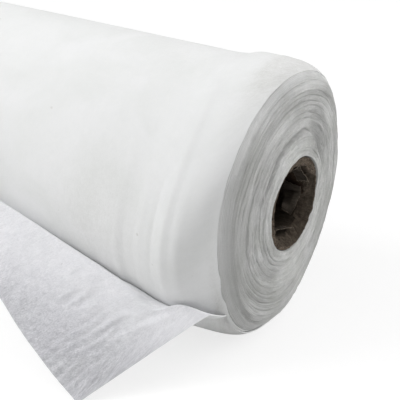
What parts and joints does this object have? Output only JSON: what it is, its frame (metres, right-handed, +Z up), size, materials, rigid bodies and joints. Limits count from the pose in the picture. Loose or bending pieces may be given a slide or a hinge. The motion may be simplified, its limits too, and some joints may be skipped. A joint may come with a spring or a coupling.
{
  "type": "geotextile roll",
  "caption": "Roll of white nonwoven geotextile wound on a board core, lying on its side with a corner of its free end turned back.",
  "frame": {"origin": "on the floor, under the middle of the web, in the middle of the flat on which the roll rests", "axes": "+X along the roll's axis towards the domed end with the turned-back corner, -Y the front where that corner lies, +Z up"},
  "size_m": [1.0068, 0.3744, 0.2707],
  "materials": {
    "web": "white needle-punched nonwoven, calendered smooth",
    "web_back": "the web's rougher inner side, mottled cool grey-white",
    "board": "brown kraft board, torn at the mouth",
    "ply": "peeled kraft ply",
    "tape": "creped paper tape"
  },
  "bodies": {
    "roll": {"core_tube": "board", "loose_ply_upper": "ply", "loose_ply_back": "ply", "loose_ply_lower": "ply", "start_tape": "tape", "wound_web": "web", "outer_turn": "web", "free_end": "web"},
    "corner": {"turned_corner": "web_back"}
  },
  "joints": [
    {"name": "corner_lift", "type": "hinge", "parent": "roll", "child": "corner", "pos_m": [0.47956, -0.1393, 0.06841], "axis": [-0.9626, -0.0583, 0.2647], "range_deg": [0, 95]}
  ]
}
